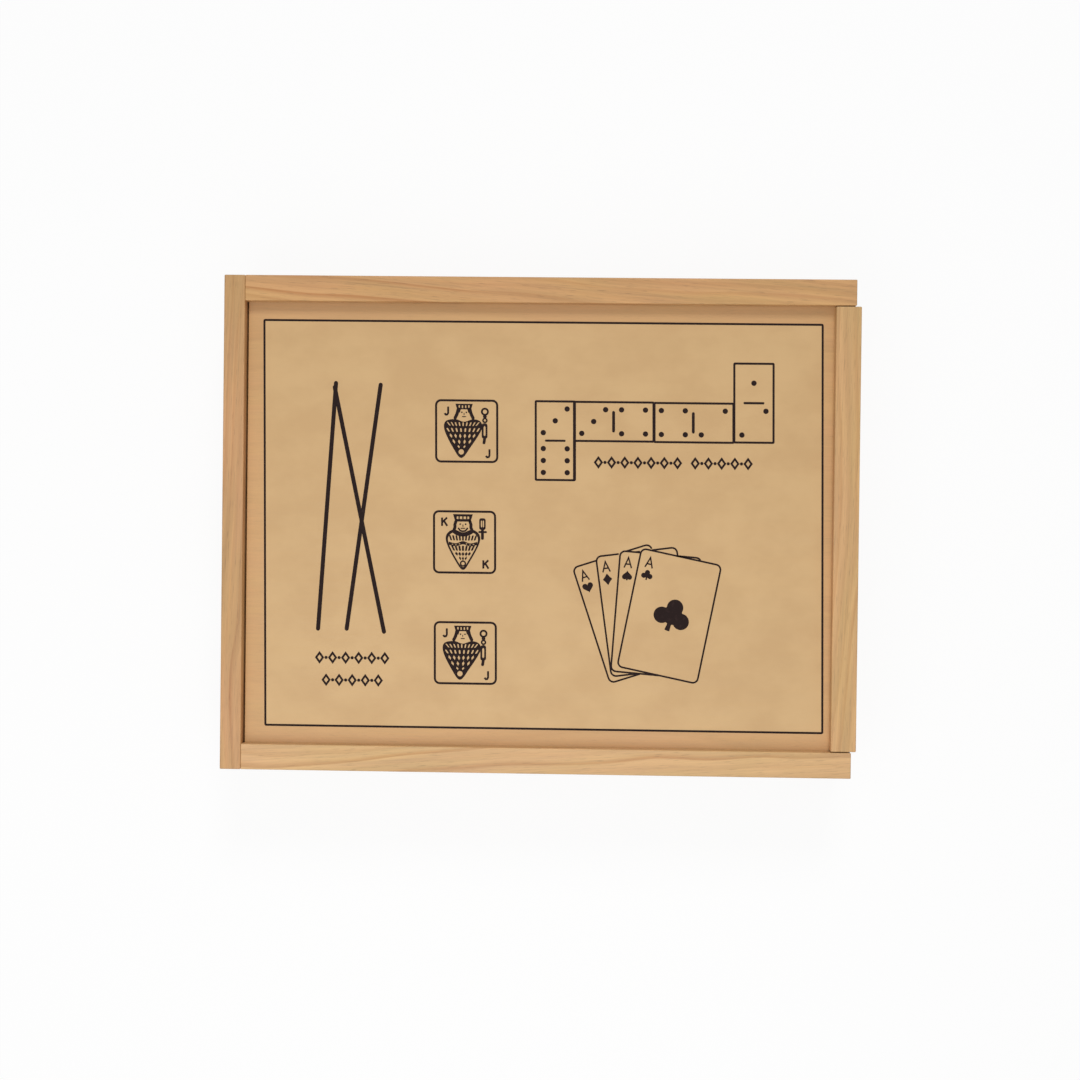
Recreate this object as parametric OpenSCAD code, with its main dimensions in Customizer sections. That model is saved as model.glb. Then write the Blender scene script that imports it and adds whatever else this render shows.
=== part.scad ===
// Games compendium box: a flat finger-jointed wooden box with a sliding lid.
// It lies on its base. X runs along the box, towards the end that the lid slides
// out of, Y across it and Z up. The origin is the centre of the base's underside.

/* [Walls] */
// Thickness of the two long walls, which carry the lid in their grooves
long_wall_t = 8; // [6.5:0.5:12]
// Thickness of the full-height end wall that the lid closes against
closed_end_t = 6.5; // [5:0.5:12]
// Thickness of the low end wall that the lid passes over
open_end_t = 8; // [5:0.5:12]
// Thickness of the plywood base
base_t = 3; // [2:0.5:6]
// Height of the rails above the lid's groove
rail_lip = 3.7; // [2.5:0.1:8]
// Free height between the tallest contents and the lid
headroom = 5.8; // [4.6:0.2:20]
// Number of fingers in the corner joints at the closed end
closed_end_fingers = 5; // [3:2:9]
// Number of fingers in the corner joints at the open end
open_end_fingers = 4; // [2:2:8]

/* [Sliding lid] */
// Thickness of the lid's panel
lid_t = 3; // [2:0.25:5]
// Depth of the grooves that the lid runs in
groove_depth = 3.5; // [2:0.25:4.5]
// Clearance between the lid and the groove, above and below
lid_play_z = 0.15; // [0.1:0.05:0.5]
// Clearance between each long edge of the lid and the bottom of its groove
lid_play_y = 0.5; // [0.2:0.1:1.5]
// Gap left between the lid and the closed end
lid_gap = 0.5; // [0.3:0.1:3]
// How far the batten overhangs the box's open end
batten_proud = 1.5; // [0:0.25:6]
// Width of the batten across the lid's pulling end
batten_w = 7.8; // [5:0.2:12]
// Clearance between each end of the batten and the rail beside it
batten_play = 0.3; // [0.1:0.1:1]

/* [Dividers] */
// Thickness of the three dividers
divider_t = 3; // [2.5:0.5:6]
// Gap between the top of the dividers and the lid's groove
divider_drop = 2; // [1:0.5:4]
// Depth of the housings that hold the dividers in the walls
wall_housing = 1.5; // [0.5:0.25:2]
// Depth of the housings that hold one divider in another
divider_housing = 1; // [0.5:0.25:1.5]

/* [Pick-up sticks] */
// Length of a stick, point to point
stick_l = 180; // [120:1:240]
// Diameter of a stick
stick_d = 3; // [2.5:0.1:5]
// Length of the taper at each point
stick_point = 9; // [4:0.5:20]
// Diameter of the blunt tip
stick_tip_d = 0.9; // [0.5:0.1:1.5]
// Gap between neighbouring sticks in a row
stick_gap = 0.4; // [0.2:0.1:1]
// Free length in the stick bay
stick_play = 1.5; // [1:0.5:10]

/* [Dominoes] */
// Length of a tile
domino_l = 43; // [30:0.5:60]
// Width of a tile
domino_w = 21.5; // [15:0.5:30]
// Thickness of a tile
domino_t = 6; // [4:0.5:10]
// Radius of a tile's upright corners
domino_corner_r = 1.5; // [0.5:0.25:3]
// Radius of a pip at the tile's face
pip_r = 1.3; // [0.6:0.1:1.6]
// Depth of the pips and of the line between the halves
pip_depth = 0.6; // [0.3:0.1:1]
// Distance between neighbouring pips
pip_pitch = 6.2; // [4:0.1:6.5]
// Gap between neighbouring tiles
domino_gap = 0.3; // [0.1:0.1:1]
// Free length in the domino bay
domino_play_l = 1.2; // [0.6:0.2:10]
// Free width in the domino bay
domino_play_w = 2.3; // [0.6:0.1:10]

/* [Playing cards] */
// Length of a card
card_l = 88; // [70:1:100]
// Width of a card
card_w = 63; // [44:1:75]
// Thickness of a card
card_t = 0.29; // [0.25:0.01:0.35]
// Radius of a card's corners
card_corner_r = 3.5; // [2:0.25:6]
// Free length and width in the card bay
card_play = 3; // [2:0.5:10]

/* [Poker dice] */
// Size of a die across its flats
die_s = 16; // [12:0.5:20]
// Diameter of the ball that rounds a die's corners, as a share of its size
die_ball = 1.42; // [1.35:0.01:1.6]
// Least free space between two dice
die_gap = 9; // [6:0.5:12]
// Free width in the dice bay, past two dice
dice_play = 10; // [8:0.5:30]

/* [Hidden] */
$fn = 48;
// Air between pieces that lie on one another, and between one card and the next
SLIT = 0.05;
CARD_SLIT = 0.01;
// How far a cut runs past the face that it starts from
OVER = 1;

// The contents settle the bays.
STICKS_WIDE = 7;
STICK_ROWS = 7;
// How many sticks there are of each value: 20, 10, 5, 3 and 2 points
STICK_VALUES = [20, 10, 5, 3, 2];
STICK_COUNTS = [1, 5, 5, 15, 15];
// Clearance between the outer sticks of a row and the bay's sides
STICK_SIDE_PLAY = 0.3;
// How much of the free length the sticks' ends wander over
STICK_WANDER = 0.8;
stick_total = counts_before(len(STICK_COUNTS));
stick_pitch = stick_d + stick_gap;
stick_rise = sqrt(pow(stick_d + SLIT, 2) - pow(stick_pitch / 2, 2));
stick_bay_w = (STICKS_WIDE - 1) * stick_pitch + stick_d + 2 * STICK_SIDE_PLAY;
stick_stack_h = SLIT + stick_d + (STICK_ROWS - 1) * stick_rise;

DOMINO_COLUMNS = 2;
DOMINO_ROWS = 5;
DOMINO_LAYERS = 3;
MOST_PIPS = 6;
// The line between a tile's halves: its width, and its length as a share of the tile's width
LINE_W = 0.9;
LINE_SHARE = 0.74;
domino_total = (MOST_PIPS + 1) * (MOST_PIPS + 2) / 2;
domino_bay_l = DOMINO_COLUMNS * domino_l + (DOMINO_COLUMNS - 1) * domino_gap + domino_play_l;
domino_bay_w = DOMINO_ROWS * domino_w + (DOMINO_ROWS - 1) * domino_gap + domino_play_w;
domino_stack_h = DOMINO_LAYERS * (domino_t + SLIT);

SUITS = ["clubs", "diamonds", "hearts", "spades"];
SUIT_CARDS = 13;
JOKERS = 2;
card_pitch = card_t + CARD_SLIT;
card_total = len(SUITS) * SUIT_CARDS + JOKERS;
card_stack_h = card_total * card_pitch;

DICE = 5;
DICE_IN_BACK_ROW = 3;
// The most that a die is turned from square with its bay, in degrees
DIE_TURN = 14;
dice_pitch_x = die_s + die_gap;
dice_pitch_y = die_s + dice_play / 2;
dice_bay_w = 2 * die_s + dice_play;

card_bay_l = max(card_l + card_play, DICE_IN_BACK_ROW * dice_pitch_x);
card_bay_w = card_w + card_play;
play_bay_w = max(domino_bay_w, card_bay_w + divider_t + dice_bay_w);

// The bays settle the box.
inner_l = max(stick_l + stick_play, card_bay_l + divider_t + domino_bay_l);
inner_w = stick_bay_w + divider_t + play_bay_w;
inner_h = max(stick_stack_h, domino_stack_h, card_stack_h, die_s) + headroom;
box_l = closed_end_t + inner_l + open_end_t;
box_w = inner_w + 2 * long_wall_t;
groove_h = lid_t + 2 * lid_play_z;
groove_z = base_t + inner_h;
box_h = groove_z + groove_h + rail_lip;
wall_h = box_h - base_t;

west_x = -box_l / 2;
east_x = box_l / 2;
inner_west_x = west_x + closed_end_t;
inner_east_x = east_x - open_end_t;
inner_south_y = -inner_w / 2;
inner_north_y = inner_w / 2;

// Where the dividers stand
divider_h = inner_h - divider_drop;
long_divider_y = inner_north_y - stick_bay_w - divider_t;
cross_divider_x = inner_west_x + card_bay_l;
short_divider_y = long_divider_y - card_bay_w - divider_t;
domino_bay_x = cross_divider_x + divider_t;

lid_z = groove_z + lid_play_z;
lid_w = inner_w + 2 * (groove_depth - lid_play_y);

function stick_node(value) = str("sticks_", value, "_point");
function domino_node(low, high) = str("domino_", low, "_", high);
function die_node(i) = str("die_", i);

// ---- Walls ----

// The parts of a corner that belong to the other wall: every second finger's slot,
// counted from the bottom. size is the whole corner's.
module finger_slots(size, count, first) {
    step = size[2] / count;
    for (i = [first:2:count - 1])
        translate([0, 0, i * step])
            cube([size[0], size[1], step]);
}

// A long wall, drawn as the north one
module long_wall() {
    difference() {
        translate([west_x, inner_north_y, base_t])
            cube([box_l, long_wall_t, wall_h]);
        // the lid's groove, open at the end that the lid slides out of
        translate([inner_west_x, inner_north_y - OVER, groove_z])
            cube([box_l, groove_depth + OVER, groove_h]);
        // the end walls have the first finger and every second one above it
        translate([west_x, inner_north_y, base_t])
            finger_slots([closed_end_t, long_wall_t, wall_h], closed_end_fingers, 0);
        translate([inner_east_x, inner_north_y, base_t])
            finger_slots([open_end_t, long_wall_t, inner_h], open_end_fingers, 0);
    }
}

module north_wall() {
    color("burlywood") long_wall();
}

module south_wall() {
    color("burlywood")
        difference() {
            mirror([0, 1, 0]) long_wall();
            cross_divider_body();
        }
}

module west_wall() {
    color("peru")
        difference() {
            translate([west_x, -box_w / 2, base_t])
                cube([closed_end_t, box_w, wall_h]);
            for (y = [-box_w / 2, inner_north_y])
                translate([west_x, y, base_t])
                    finger_slots([closed_end_t, long_wall_t, wall_h], closed_end_fingers, 1);
            long_divider_body();
            short_divider_body();
        }
}

module east_wall() {
    color("peru")
        difference() {
            translate([inner_east_x, -box_w / 2, base_t])
                cube([open_end_t, box_w, inner_h]);
            for (y = [-box_w / 2, inner_north_y])
                translate([inner_east_x, y, base_t])
                    finger_slots([open_end_t, long_wall_t, inner_h], open_end_fingers, 1);
            long_divider_body();
        }
}

module base_panel() {
    color("wheat")
        translate([west_x, -box_w / 2, 0])
            cube([box_l, box_w, base_t]);
}

// ---- Dividers ----

module long_divider_body() {
    translate([inner_west_x - wall_housing, long_divider_y, base_t])
        cube([inner_l + 2 * wall_housing, divider_t, divider_h]);
}

module cross_divider_body() {
    from_y = inner_south_y - wall_housing;
    translate([cross_divider_x, from_y, base_t])
        cube([divider_t, long_divider_y + divider_housing - from_y, divider_h]);
}

module short_divider_body() {
    from_x = inner_west_x - wall_housing;
    translate([from_x, short_divider_y, base_t])
        cube([cross_divider_x + divider_housing - from_x, divider_t, divider_h]);
}

module long_divider() {
    color("wheat")
        difference() {
            long_divider_body();
            cross_divider_body();
        }
}

module cross_divider() {
    color("wheat")
        difference() {
            cross_divider_body();
            short_divider_body();
        }
}

module short_divider() {
    color("wheat") short_divider_body();
}

// ---- Lid ----

module lid_panel() {
    from_x = inner_west_x + lid_gap;
    color("navajowhite")
        translate([from_x, -lid_w / 2, lid_z])
            cube([east_x - from_x, lid_w, lid_t]);
}

// The strip that fills the mouth over the low end wall, and is pushed to open the lid
module lid_batten() {
    batten_z = lid_z + lid_t;
    color("burlywood")
        translate([east_x + batten_proud - batten_w, inner_south_y + batten_play, batten_z])
            cube([batten_w, inner_w - 2 * batten_play, box_h - batten_z]);
}

// ---- Pick-up sticks ----

// A stick's turned outline: a round rod that tapers to a blunt point at both ends
module stick() {
    r = stick_d / 2;
    tip_r = stick_tip_d / 2;
    rotate([0, 90, 0])
        rotate_extrude()
            polygon([
                [0, 0], [tip_r, 0], [r, stick_point],
                [r, stick_l - stick_point], [tip_r, stick_l], [0, stick_l]
            ]);
}

// Rows of seven and six in turn, and what is left lies on the last row
function row_start(row) = row * STICKS_WIDE - floor(row / 2);
function stick_row(i) = max([for (row = [0:STICK_ROWS - 1]) if (i >= row_start(row)) row]);
// The values lie mixed, because a step of 12 meets each of the 41 sticks once
function stick_rank(i) = (12 * i) % stick_total;
function counts_before(k) = k == 0 ? 0 : counts_before(k - 1) + STICK_COUNTS[k - 1];
function stick_value(i) =
    let (kinds = [for (k = [0:len(STICK_COUNTS) - 1]) if (stick_rank(i) >= counts_before(k)) k])
    STICK_VALUES[max(kinds)];
function stick_place(i) =
    let (row = stick_row(i), along = i - row_start(row), odd = row % 2)
    let (slack = (inner_l - stick_l) / 2)
    [
        inner_west_x + slack * (1 + STICK_WANDER * sin(97 * i)),
        inner_north_y - STICK_SIDE_PLAY - stick_d / 2 - (along + odd / 2) * stick_pitch,
        base_t + SLIT + stick_d / 2 + row * stick_rise
    ];

module sticks(value) {
    color("tan")
        for (i = [0:stick_total - 1])
            if (stick_value(i) == value)
                translate(stick_place(i)) stick();
}

// ---- Dominoes ----

module rounded_plate(size, r) {
    linear_extrude(size[2])
        union() {
            square([size[0] - 2 * r, size[1]], center = true);
            square([size[0], size[1] - 2 * r], center = true);
            for (x = [-1, 1], y = [-1, 1])
                translate([x * (size[0] / 2 - r), y * (size[1] / 2 - r)])
                    circle(r);
        }
}

// Where the pips of each number lie, in pip pitches from the middle of the half.
// The first number runs along the tile and the second across it.
function pip_places(count) = concat(
    count % 2 == 1 ? [[0, 0]] : [],
    count >= 2 ? [[-1, -1], [1, 1]] : [],
    count >= 4 ? [[-1, 1], [1, -1]] : [],
    count == 6 ? [[0, -1], [0, 1]] : []
);

// A pip is the bowl that a ball of this radius cuts when it sinks by pip_depth.
pip_ball_r = (pip_r * pip_r + pip_depth * pip_depth) / (2 * pip_depth);

module domino(low, high) {
    difference() {
        rounded_plate([domino_l, domino_w, domino_t], domino_corner_r);
        for (half = [[-1, low], [1, high]], place = pip_places(half[1]))
            translate([
                half[0] * domino_l / 4 + place[0] * pip_pitch,
                place[1] * pip_pitch,
                domino_t - pip_depth + pip_ball_r
            ])
                sphere(pip_ball_r);
        translate([-LINE_W / 2, -domino_w * LINE_SHARE / 2, domino_t - pip_depth])
            cube([LINE_W, domino_w * LINE_SHARE, OVER + pip_depth]);
    }
}

// A tile's place in the sorted set, and the slot that it lies in. A step of 11 mixes
// the tiles, and the last layer is two tiles short. Each layer is centred in its bay.
function domino_index(low, high) = low * (MOST_PIPS + 1) - low * (low - 1) / 2 + high - low;
function domino_slot(low, high) = (11 * domino_index(low, high) + 5) % domino_total;
function domino_place(slot) =
    let (layer = floor(slot / (DOMINO_COLUMNS * DOMINO_ROWS)))
    let (rest = slot % (DOMINO_COLUMNS * DOMINO_ROWS))
    let (column = floor(rest / DOMINO_ROWS), row = rest % DOMINO_ROWS)
    [
        (domino_bay_x + inner_east_x) / 2
            + (column - (DOMINO_COLUMNS - 1) / 2) * (domino_l + domino_gap),
        (inner_south_y + long_divider_y) / 2
            + (row - (DOMINO_ROWS - 1) / 2) * (domino_w + domino_gap),
        base_t + layer * (domino_t + SLIT)
    ];

module placed_domino(low, high) {
    slot = domino_slot(low, high);
    color("ivory")
        translate(domino_place(slot))
            rotate([0, 0, slot % 2 == 0 ? 0 : 180])
                domino(low, high);
}

// ---- Playing cards ----

// The pack lies sorted by suit with the jokers on top, each card a hair out of
// line with the next.
module cards(first, count) {
    wander = card_play / 5;
    color("white")
        for (i = [first:first + count - 1])
            translate([
                inner_west_x + card_bay_l / 2 + wander * sin(53 * i),
                long_divider_y - card_bay_w / 2 + wander * cos(71 * i),
                base_t + CARD_SLIT + i * card_pitch
            ])
                rounded_plate([card_l, card_w, card_t], card_corner_r);
}

module suit_cards(k) {
    cards(k * SUIT_CARDS, SUIT_CARDS);
}

module joker_cards() {
    cards(len(SUITS) * SUIT_CARDS, JOKERS);
}

// ---- Poker dice ----

// The first three dice lie in the back row of their bay and the others in the
// front row, each row centred in the bay's length.
module die(i) {
    back = i <= DICE_IN_BACK_ROW;
    row_middle = back ? (1 + DICE_IN_BACK_ROW) / 2 : (DICE_IN_BACK_ROW + 1 + DICE) / 2;
    bay_y = (inner_south_y + short_divider_y) / 2;
    color("ivory")
        translate([
            inner_west_x + card_bay_l / 2 + (i - row_middle) * dice_pitch_x,
            bay_y + (back ? 0.5 : -0.5) * dice_pitch_y,
            base_t + die_s / 2
        ])
            rotate([0, 0, DIE_TURN * sin(137 * i)])
                intersection() {
                    cube(die_s, center = true);
                    sphere(d = die_s * die_ball);
                }
}

north_wall();
south_wall();
west_wall();
east_wall();
base_panel();
long_divider();
cross_divider();
short_divider();
lid_panel();
lid_batten();
for (value = STICK_VALUES)
    sticks(value);
for (low = [0:MOST_PIPS], high = [low:MOST_PIPS])
    placed_domino(low, high);
for (k = [0:len(SUITS) - 1])
    suit_cards(k);
joker_cards();  // cards_jokers
for (i = [1:DICE])
    die(i);
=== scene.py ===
import math

import bpy
import numpy as np
from mathutils.geometry import tessellate_polygon
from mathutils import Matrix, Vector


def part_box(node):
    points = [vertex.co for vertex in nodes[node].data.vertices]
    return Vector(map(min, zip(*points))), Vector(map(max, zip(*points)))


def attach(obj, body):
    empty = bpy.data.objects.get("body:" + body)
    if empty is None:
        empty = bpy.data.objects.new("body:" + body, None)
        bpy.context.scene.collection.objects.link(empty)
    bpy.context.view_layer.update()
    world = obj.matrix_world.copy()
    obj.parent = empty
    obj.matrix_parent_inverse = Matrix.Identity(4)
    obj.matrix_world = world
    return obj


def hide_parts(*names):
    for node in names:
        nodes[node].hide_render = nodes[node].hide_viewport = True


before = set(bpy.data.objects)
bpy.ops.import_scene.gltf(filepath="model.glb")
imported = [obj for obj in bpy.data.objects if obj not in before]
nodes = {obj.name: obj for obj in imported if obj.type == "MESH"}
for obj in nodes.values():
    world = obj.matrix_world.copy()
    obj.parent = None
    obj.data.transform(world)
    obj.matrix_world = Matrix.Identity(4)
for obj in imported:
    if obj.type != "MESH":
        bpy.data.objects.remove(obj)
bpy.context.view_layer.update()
mm = 0.001

camera = dict(  # mm and degrees
    place=(17.7, 2.1, 600), turn=(-0.634, 1.683, 0.680), lens=60.91, sensor=36, near=10)

lights = dict(  # place and size in metres, power in watts; glow is what the camera and shiny faces meet
    key=((0.15, 1.10, 1.20), 0.42, 8.8), fill=((-0.05, -0.17, 0.40), 0.45, 0.955),
    sky=0.355, glow=1.0, white=(1, 1, 1, 1))

floorLook = dict(size=20, paper=(0.92, 0.92, 0.92, 1), glowShare=0.90)  # the rest keeps the object's shadow


def srgb(r, g, b):  # a screen colour of 0 to 255 as the linear one that a shader takes
    tone = np.array([r, g, b]) / 255
    linear = np.where(tone <= 0.04045, tone / 12.92, ((tone + 0.055) / 1.055) ** 2.4)
    return (*linear.tolist(), 1.0)


def plug(node, inputs):  # each socket takes a link or a plain value
    for socket, value in dict(inputs).items():
        if isinstance(value, bpy.types.NodeSocket):
            node.id_data.links.new(value, node.inputs[socket])
        else:
            node.inputs[socket].default_value = value
    return node


def addNode(tree, kind, inputs=(), **settings):
    node = tree.nodes.new("ShaderNode" + kind)
    for key, value in settings.items():
        setattr(node, key, value)
    return plug(node, inputs)


def addNext(kind, inputs, **settings):  # a node in the tree of the links that it takes
    links = [value for value in inputs.values() if isinstance(value, bpy.types.NodeSocket)]
    return addNode(links[0].id_data, kind, inputs, **settings).outputs


def calc(operation, *values):
    return addNext("Math", dict(enumerate(values)), operation=operation)[0]


def plus(a, b):
    return calc("ADD", a, b)


def minus(a, b):
    return calc("SUBTRACT", a, b)


def times(a, b):
    return calc("MULTIPLY", a, b)


def swing(value, share):  # a value about one half made one about nought, times a share
    return times(minus(value, 0.5), share)


def away(value, middle):  # how far a value is from the middle, on either side
    return calc("ABSOLUTE", minus(value, middle))


def calcVector(operation, a, b):
    return addNext("VectorMath", {0: a, 1: b}, operation=operation)[0]


def stretch(vector, factors):
    return calcVector("MULTIPLY", vector, factors)


def scaled(vector, factor):
    return addNext("VectorMath", {0: vector, "Scale": factor}, operation="SCALE")[0]


def mapped(vector, place=(0, 0, 0), turn=(0, 0, 0)):
    return addNext("Mapping", {"Vector": vector, "Location": place, "Rotation": turn})[0]


def split(vector):
    return addNext("SeparateXYZ", {0: vector})


def smoothRange(value, low, high, toLow=0.0, toHigh=1.0):
    return addNext("MapRange", {
        "Value": value, "From Min": low, "From Max": high, "To Min": toLow, "To Max": toHigh},
        interpolation_type="SMOOTHSTEP")[0]


def mixTones(factor, a, b):
    return addNext("Mix", {0: factor, 6: a, 7: b}, data_type="RGBA")[2]


def noise(vector, detail, scale=1.0, output="Fac", **more):
    return addNext("TexNoise", {"Vector": vector, "Scale": scale, "Detail": detail, **more})[output]


def objectPlace(tree):
    return addNode(tree, "TexCoord").outputs["Object"]


def clearedTree(holder):
    holder.use_nodes = True
    holder.node_tree.nodes.clear()
    return holder.node_tree


def seenWhite(tree):  # 1 for rays that should meet the white background, 0 for light on the object
    path = addNode(tree, "LightPath").outputs
    shiny = calc("MAXIMUM", path["Is Glossy Ray"], path["Is Transmission Ray"])
    return calc("MAXIMUM", path["Is Camera Ray"], shiny)


def addObject(name, data):
    thing = bpy.data.objects.new(name, data)
    bpy.context.scene.collection.objects.link(thing)
    return thing


def makeCamera():
    data = bpy.data.cameras.new("camera")
    data.lens = camera["lens"]
    data.sensor_width = camera["sensor"]
    data.clip_start = camera["near"] * mm
    view = addObject("camera", data)
    view.location = [c * mm for c in camera["place"]]
    view.rotation_euler = [math.radians(a) for a in camera["turn"]]
    bpy.context.scene.camera = view


def makeLamp(name):  # a square lamp that looks at the middle of the floor
    place, size, power = lights[name]
    data = bpy.data.lights.new(name, "AREA")
    data.size = size
    data.energy = power
    lamp = addObject(name, data)
    lamp.location = place
    lamp.rotation_euler = (-lamp.location.normalized()).to_track_quat("-Z", "Y").to_euler()


def makeSky():
    world = bpy.data.worlds.new("studio")
    bpy.context.scene.world = world
    tree = clearedTree(world)
    sky, white = (addNode(tree, "Background", {"Color": lights["white"], "Strength": lights[part]})
                  for part in ("sky", "glow"))
    both = addNode(tree, "MixShader", {0: seenWhite(tree), 1: sky.outputs[0], 2: white.outputs[0]})
    addNode(tree, "OutputWorld", {"Surface": both.outputs[0]})


def makeFloor():
    bpy.ops.mesh.primitive_plane_add(size=floorLook["size"], location=(0, 0, 0))
    floor = bpy.context.object
    floor.name = "floor"
    material = bpy.data.materials.new("floorWhite")
    tree = clearedTree(material)
    paper = addNode(tree, "BsdfDiffuse", {"Color": floorLook["paper"]})
    glow = addNode(tree, "Emission", {"Color": lights["white"], "Strength": lights["glow"]})
    share = times(seenWhite(tree), floorLook["glowShare"])
    both = addNode(tree, "MixShader", {0: share, 1: paper.outputs[0], 2: glow.outputs[0]})
    addNode(tree, "OutputMaterial", {"Surface": both.outputs[0]})
    floor.data.materials.append(material)


makeCamera()
makeLamp("key")
makeLamp("fill")
makeSky()
makeFloor()
bpy.context.scene.view_settings.view_transform = "Standard"
print("camera, light and floor are set")

woodFigure = dict(  # noise per mm, slow along the grain and quick across it, and the ends of each mask
    slow=(0.011, 0.035, 0.035), fibre=(0.035, 1.9, 1.9), streak=(0.014, 0.42, 0.42),
    blotch=(0.012, 0.05, 0.05), pore=(0.22, 5.0, 5.0), patch=(0.02, 0.13, 0.13),
    ringRise=(0.25, 0.86), ringFall=(0.86, 1.0), yearShare=(0.0, 1.0, 0.2, 1.0),
    streakShare=(0.35, 0.65, 0.35, 1.0), poreMask=(0.60, 0.72), fibreRough=0.62,
    redder=(0.5, -0.5, 1.0), lateHeight=0.5, roughShare=0.3)


def startGroup(name, inputs, outputs):
    group = bpy.data.node_groups.new(name, "ShaderNodeTree")
    for label, kind, value in inputs:
        socket = group.interface.new_socket(label, in_out="INPUT", socket_type="NodeSocket" + kind)
        if value is not None:
            socket.default_value = value
    for label, kind in outputs:
        group.interface.new_socket(label, in_out="OUTPUT", socket_type="NodeSocket" + kind)
    return group, group.nodes.new("NodeGroupInput").outputs, group.nodes.new("NodeGroupOutput")


def makeGrainGroup():
    # Solid wood: growth rings round the x axis, bent by slow noise, with fine fibres along x.
    # Ring phase is the distance from the axis over the ring width, so every cut face agrees.
    group, given, out = startGroup("woodGrain", [
        ("Vector", "Vector", None), ("Ring Width", "Float", 2.4), ("Bend", "Float", 3.0),
        ("Early", "Color", (1, 1, 1, 1)), ("Late", "Color", (0, 0, 0, 1)), ("Contrast", "Float", 0.6),
        ("Fibre", "Float", 0.14), ("Streak", "Float", 0.1), ("Blotch", "Float", 0.12),
        ("Drift", "Float", 0.1), ("Pores", "Float", 0.1)],
        [("Color", "Color"), ("Height", "Float"), ("Rough Shift", "Float")])

    def figure(vector, part, detail, **more):
        return noise(stretch(vector, woodFigure[part]), detail, **more)

    def mask(value, part):
        return smoothRange(value, *woodFigure[part])

    inMm = stretch(given["Vector"], [1 / mm] * 3)
    shift = calcVector("SUBTRACT", figure(inMm, "slow", 2.0, output="Color"), (0.5, 0.5, 0.5))
    bent = calcVector("ADD", inMm, scaled(shift, given["Bend"]))
    across = stretch(bent, (0, 1, 1))
    distance = addNext("VectorMath", {0: across}, operation="LENGTH")["Value"]
    phase = calc("DIVIDE", distance, given["Ring Width"])
    within = calc("FRACT", phase)
    late = minus(mask(within, "ringRise"), mask(within, "ringFall"))
    year = addNext("TexWhiteNoise", {"W": calc("FLOOR", phase)}, noise_dimensions="1D")["Value"]
    streak = figure(bent, "streak", 2.0)
    patchy = times(mask(year, "yearShare"), mask(streak, "streakShare"))
    ringShare = times(late, times(patchy, given["Contrast"]))
    ringed = mixTones(ringShare, given["Early"], given["Late"])
    fibre = figure(inMm, "fibre", 4.0, Roughness=woodFigure["fibreRough"])
    fibreShade = swing(fibre, given["Fibre"])
    blotchShade = swing(figure(inMm, "blotch", 3.0), given["Blotch"])
    streakShade = swing(streak, given["Streak"])
    pores = times(mask(figure(inMm, "pore", 1.0), "poreMask"), given["Pores"])
    slowShade = minus(plus(blotchShade, streakShade), pores)
    shaded = scaled(ringed, plus(1.0, plus(fibreShade, slowShade)))
    drift = swing(figure(bent, "patch", 2.0), given["Drift"])
    hue = calcVector("ADD", (1, 1, 1), scaled(woodFigure["redder"], drift))
    plug(out, {
        "Color": stretch(shaded, hue),
        "Height": plus(times(late, woodFigure["lateHeight"]), fibre),
        "Rough Shift": swing(fibre, woodFigure["roughShare"])})
    return group


grainGroup = makeGrainGroup()


def newMaterial(name):
    material = bpy.data.materials.new(name)
    tree = clearedTree(material)
    shader = addNode(tree, "BsdfPrincipled")
    addNode(tree, "OutputMaterial", {"Surface": shader.outputs[0]})
    return material, tree, shader


def bumpFrom(height, strength, depth):
    return addNext("Bump", {"Height": height, "Strength": strength, "Distance": depth * mm})[0]


grainTurns = dict(x=(0, 0, 0), y=(0, 0, -math.pi / 2), z=(0, math.pi / 2, 0))


def grainOf(tree, along, pith, look, tilt=0.0):  # a grain along an axis, with its pith set off the board
    turned = mapped(objectPlace(tree), turn=grainTurns[along])
    moved = mapped(turned, [c * mm for c in pith], (0, 0, math.radians(tilt)))
    return addNext("Group", {"Vector": moved, **look}, node_tree=grainGroup)


def finishWood(shader, tone, grain, roughness, bump):
    plug(shader, {
        "Base Color": tone, "Roughness": plus(grain["Rough Shift"], roughness),
        "Normal": bumpFrom(grain["Height"], *bump)})


board = dict(  # a bump is its strength and its depth in mm
    endTone=0.74, endMask=(0.6, 0.9), roughness=0.50, bump=(0.5, 0.06))


def makeBoard(name, along, pith, look, endTone=board["endTone"], tilt=0.0):
    # Solid wood, darker where a face looks along the grain
    material, tree, shader = newMaterial(name)
    grain = grainOf(tree, along, pith, look, tilt)
    normal = addNode(tree, "NewGeometry").outputs["Normal"]
    facing = calc("ABSOLUTE", split(normal)["xyz".index(along)])
    end = smoothRange(facing, *board["endMask"])
    tone = mixTones(end, grain["Color"], scaled(grain["Color"], endTone))
    finishWood(shader, tone, grain, board["roughness"], board["bump"])
    return material


def newBundle():
    return dict(points=[], faces=[], slots=[], count=0)


def addPart(bundle, points, faces, slot=0):
    bundle["faces"] += [[int(i) + bundle["count"] for i in face] for face in faces]
    bundle["slots"] += [slot] * len(faces)
    bundle["points"].append(np.asarray(points, float))
    bundle["count"] += len(points)


weldWithin = 0.002  # mm


def welded(points, faces):  # one point where the points of several parts meet
    keys = np.round(np.asarray(points) / weldWithin).astype(np.int64)
    first, index = np.unique(keys, axis=0, return_index=True, return_inverse=True)[1:]
    index = index.ravel()
    return np.asarray(points)[first], [index[np.array(face)].tolist() for face in faces]


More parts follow.
